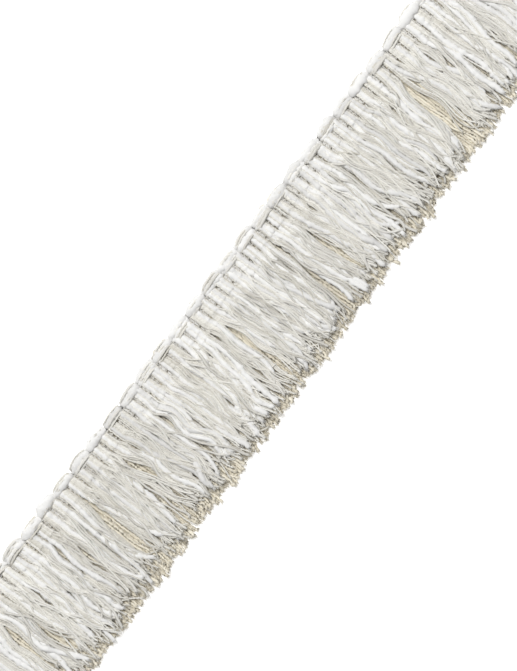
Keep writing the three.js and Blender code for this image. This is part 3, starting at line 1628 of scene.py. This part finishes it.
    def thickness(self, item: SkirtYarn, reach: Array) -> Array:
        """The yarn's radius along its path: squeezed at the stitches, uneven below, rounded at its end.

        Args:
            item: the yarn.
            reach: the distance down its path at each point.

        Returns:
            The radius at each point.
        """
        style = item.yarn.style
        swell = 1 + style.slub * uneven(self.rng, reach, (3, 12)) * np.clip((reach - 0.5) / 3, 0, 1)
        tip = np.clip((reach - reach[-1]) / 2.5 + 1, 0, 1)
        cut = 1 + {ROVING: -0.4, BACK: 0.14}.get(style, 0.0) * tip**2
        return item.yarn.radius * swell * cut * merged((reach - reach[0]) / self.heading_overlap)

    def make(self) -> list[bpy.types.Object]:
        """Builds the back layer, the bundles at the stitches and the front hanks.

        Returns:
            The pieces.
        """
        return self._back_layer() + self._front()

    def _hung(self, skein: Skein, section: int) -> bpy.types.Object:
        """Makes a piece that hangs from the heading and stands for its section's CAD part.

        Args:
            skein: the piece's yarns.
            section: its section's number from the left, from 0.

        Returns:
            The piece.
        """
        node = f"skirt_section_{section + 1:02d}"
        piece = dressed(skein.make(), node)
        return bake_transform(piece)

    def _back_layer(self) -> list[bpy.types.Object]:
        """The dense back yarns, in sections."""
        sizes, rng = self.sizes, self.rng
        yarns = self.yarns_of(BACK_LAYER)
        bed = self.lay(yarns, BACK_LAYER)
        skeins = [Skein(f"skirt_section_{i + 1:02d}_back_layer", rng) for i in range(sizes.sections)]
        ribs_each = 2 * sizes.loops // sizes.sections
        for row, item in enumerate(yarns):
            path, reach = self.strand_path(item, bed, row, BACK_LAYER)
            radius = self.thickness(item, reach)
            skein = skeins[item.rib // ribs_each]
            skein.add(item.yarn.style, Strand(path, radius, item.yarn.shade))
            add_fray(skein, rng, path, item.yarn.radius, item.yarn, 7, (0.8, 1.8), 0.7)
        return [self._hung(skein, i) for i, skein in enumerate(skeins)]

    def _front(self) -> list[bpy.types.Object]:
        """The front yarns: their short bundle at the stitches, and the hanks below the parting."""
        sizes, rng = self.sizes, self.rng
        yarns = self.yarns_of(FRONT_LAYER)
        bed = self.lay(yarns, FRONT_LAYER)
        ribs_per_section = 2 * sizes.loops // sizes.sections
        ribs_per_hank = 2 * sizes.loops // sizes.hanks
        bundles = [Skein(f"skirt_section_{i + 1:02d}_bundle", rng) for i in range(sizes.sections)]
        kinds = {Slot.ROVING: "rovings", Slot.CORD: "cords", Slot.MATTE: "matte_yarns"}
        hanks = {
            (i, slot): Skein(f"front_hank_{i + 1:02d}_{word}", rng)
            for i in range(sizes.hanks)
            for slot, word in kinds.items()
        }
        for row, item in enumerate(yarns):
            yarn, style = item.yarn, item.yarn.style
            path, reach = self.strand_path(item, bed, row, FRONT_LAYER)
            radius = self.thickness(item, reach)
            parting = sizes.parting - rng.uniform(0.2, 1.2)
            upper, lower = reach <= parting, reach >= parting - self.join_overlap
            bundle = bundles[item.rib // ribs_per_section]
            tuck = merged((parting - reach) / self.join_overlap)
            bundle.add(style, Strand(path[upper], (radius * tuck)[upper], yarn.shade, reach[0]))
            tuck = merged((reach - parting) / self.join_overlap + 1)
            skein = hanks[item.rib // ribs_per_hank, style.slot]
            skein.add(style, Strand(path[lower], (radius * tuck)[lower], yarn.shade, reach[lower][0]))
            if style is ROVING:
                add_fuzz(bundle, rng, path[upper], radius[upper], yarn, per_mm=2.5)
                add_fuzz(skein, rng, path[lower], radius[lower], yarn, per_mm=2.5)
                add_fray(skein, rng, path, 0.7 * yarn.radius, yarn, 30, (1.2, 2.8), 0.3)
            elif style is MATTE:
                add_fray(skein, rng, path, yarn.radius, yarn, 6, (0.8, 2.2), 0.6)
            else:
                add_fray(skein, rng, path, yarn.radius, yarn, 4, (1.0, 3.0), 0.7)
        made = [self._hung(skein, i) for i, skein in enumerate(bundles)]
        for (i, slot), skein in hanks.items():
            node = f"front_hank_{i + 1:02d}"
            piece = dressed(skein.make(), node)
            made.append(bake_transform(piece))
        return made


# ------------------------------------------------------------------------------------------- the studio


@dataclass
class Studio:
    """The pale floor, the soft light and the camera straight above.

    Attributes:
        turn: how far the camera is turned round, in radians.
        view_height: how much of the focus plane the picture is high.
        focus_height: how high that plane lies over the floor.
        sky_light: how strongly the sky lights the trimming.
        sky_seen: how bright the sky itself looks.
        floor_glow: how much the floor glows of itself, to stay pale.
        lamp_power: the lamp's power, in watts.
        lamp_size: the lamp's width, in metres.
        lamp_place: where the lamp hangs, in metres.
    """

    turn: float = math.radians(53.6)
    view_height: float = 241.9
    camera_height: float = 900.0
    aim: tuple[float, float] = (0.0, -2.15)
    focus_height: float = 5.0
    floor_half: float = 3000.0
    sensor: float = 36.0
    sky_light: float = 0.32
    sky_seen: float = 0.9
    floor_glow: float = 0.42
    lamp_power: float = 11.9
    lamp_size: float = 0.5
    lamp_place: tuple[float, float, float] = (0.10, 0.45, 1.10)

    def make(self) -> None:
        """Builds the studio."""
        self._floor()
        self._light()
        self._camera()

    def _floor(self) -> None:
        """A wide pale floor under the trimming."""
        work = bmesh.new()
        bmesh.ops.create_grid(work, x_segments=1, y_segments=1, size=self.floor_half * MM)
        mesh = bpy.data.meshes.new("floor")
        work.to_mesh(mesh)
        work.free()
        floor = bpy.data.objects.new("floor", mesh)
        bpy.context.scene.collection.objects.link(floor)
        material = bpy.data.materials.new("pale floor")
        material.use_nodes = True
        shader = material.node_tree.nodes["Principled BSDF"]
        shader.inputs["Base Color"].default_value = (0.95, 0.95, 0.95, 1)
        shader.inputs["Roughness"].default_value = 0.9
        shader.inputs["Specular IOR Level"].default_value = 0.1
        shader.inputs["Emission Color"].default_value = (1, 1, 1, 1)
        shader.inputs["Emission Strength"].default_value = self.floor_glow
        mesh.materials.append(material)

    def _light(self) -> None:
        """A large soft lamp from the looped edge's side, and an even sky that looks paler than it lights."""
        world = bpy.data.worlds.new("sky")
        bpy.context.scene.world = world
        world.use_nodes = True
        nodes, links = world.node_tree.nodes, world.node_tree.links
        background = nodes["Background"]
        background.inputs["Color"].default_value = (1, 1, 1, 1)
        rays = nodes.new("ShaderNodeLightPath")
        strength = nodes.new("ShaderNodeMapRange")
        strength.inputs["To Min"].default_value = self.sky_light
        strength.inputs["To Max"].default_value = self.sky_seen
        links.new(rays.outputs["Is Camera Ray"], strength.inputs["Value"])
        links.new(strength.outputs["Result"], background.inputs["Strength"])
        lamp = bpy.data.lights.new("soft lamp", "AREA")
        lamp.shape = "DISK"
        lamp.size = self.lamp_size
        lamp.energy = self.lamp_power
        holder = bpy.data.objects.new("soft lamp", lamp)
        holder.location = self.lamp_place
        holder.rotation_euler = (-holder.location).to_track_quat("-Z", "Y").to_euler()
        bpy.context.scene.collection.objects.link(holder)

    def _camera(self) -> None:
        """The camera, looking straight down, turned so that the trimming rises to the right."""
        camera = bpy.data.cameras.new("camera")
        camera.sensor_width = self.sensor
        camera.lens = self.sensor * (self.camera_height - self.focus_height) / self.view_height
        camera.clip_start, camera.clip_end = 0.05, 10
        holder = bpy.data.objects.new("camera", camera)
        holder.location = (self.aim[0] * MM, self.aim[1] * MM, self.camera_height * MM)
        holder.rotation_euler = (0, 0, -self.turn)
        bpy.context.scene.collection.objects.link(holder)
        bpy.context.scene.camera = holder
        bpy.context.scene.view_settings.view_transform = "Standard"


def main() -> None:
    """Builds the studio and the trimming."""
    logging.basicConfig(level=logging.INFO, format="%(name)s: %(message)s")
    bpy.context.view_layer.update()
    rng = np.random.default_rng(50)
    sizes = Sizes.from_frame()
    Studio().make()
    bundles = [Bundle.wound(rng, sizes) for _ in range(sizes.loops)]
    pieces = Heading(sizes, bundles, rng).make()
    pieces += Skirt(sizes, bundles, rng).make()
    clear_sections()
    log.info("%d pieces, %d triangles", len(pieces), sum(triangles(piece) for piece in pieces))


if __name__ == "__main__":
    main()
